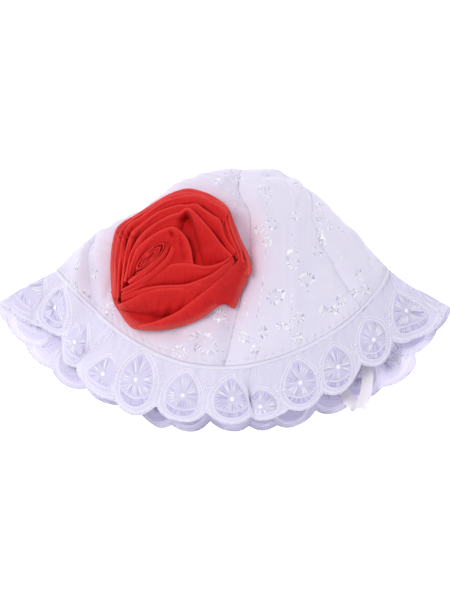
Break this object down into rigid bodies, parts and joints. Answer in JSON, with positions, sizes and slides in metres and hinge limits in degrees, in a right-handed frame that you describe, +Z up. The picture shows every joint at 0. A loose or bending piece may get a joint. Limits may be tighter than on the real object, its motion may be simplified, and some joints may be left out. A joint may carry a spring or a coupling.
{
  "type": "baby sun hat",
  "caption": "Soft baby sun hat lying on its back: gored crown open at the mouth, corded rim, gathered lace ruffle, wrapped fabric rose and ribbon chin strap.",
  "frame": {"origin": "on the surface that the hat lies on, under the middle of its box", "axes": "+Z up from that surface, +Y from the mouth of the hat to the top of its crown, +X to the right of someone who looks into the mouth"},
  "size_m": [0.2711, 0.1594, 0.076],
  "materials": {
    "crown_fabric": "fine white cotton with a faint lavender cast, embroidered with glossy thread",
    "piping": "cord covered with bias tape",
    "lace": "white net with corded and satin-stitched medallions",
    "rose_chiffon": "red chiffon, folded double, matt and partly see-through",
    "ribbon_satin": "soft satin"
  },
  "bodies": {
    "root": {"gore_right_front": "crown_fabric", "gore_right_side": "crown_fabric", "gore_right_back": "crown_fabric", "gore_left_back": "crown_fabric", "gore_left_side": "crown_fabric", "gore_left_front": "crown_fabric", "rim_piping": "piping", "lace_ruffle": "lace", "chiffon_rose": "rose_chiffon", "chin_ribbon": "ribbon_satin"}
  },
  "joints": []
}
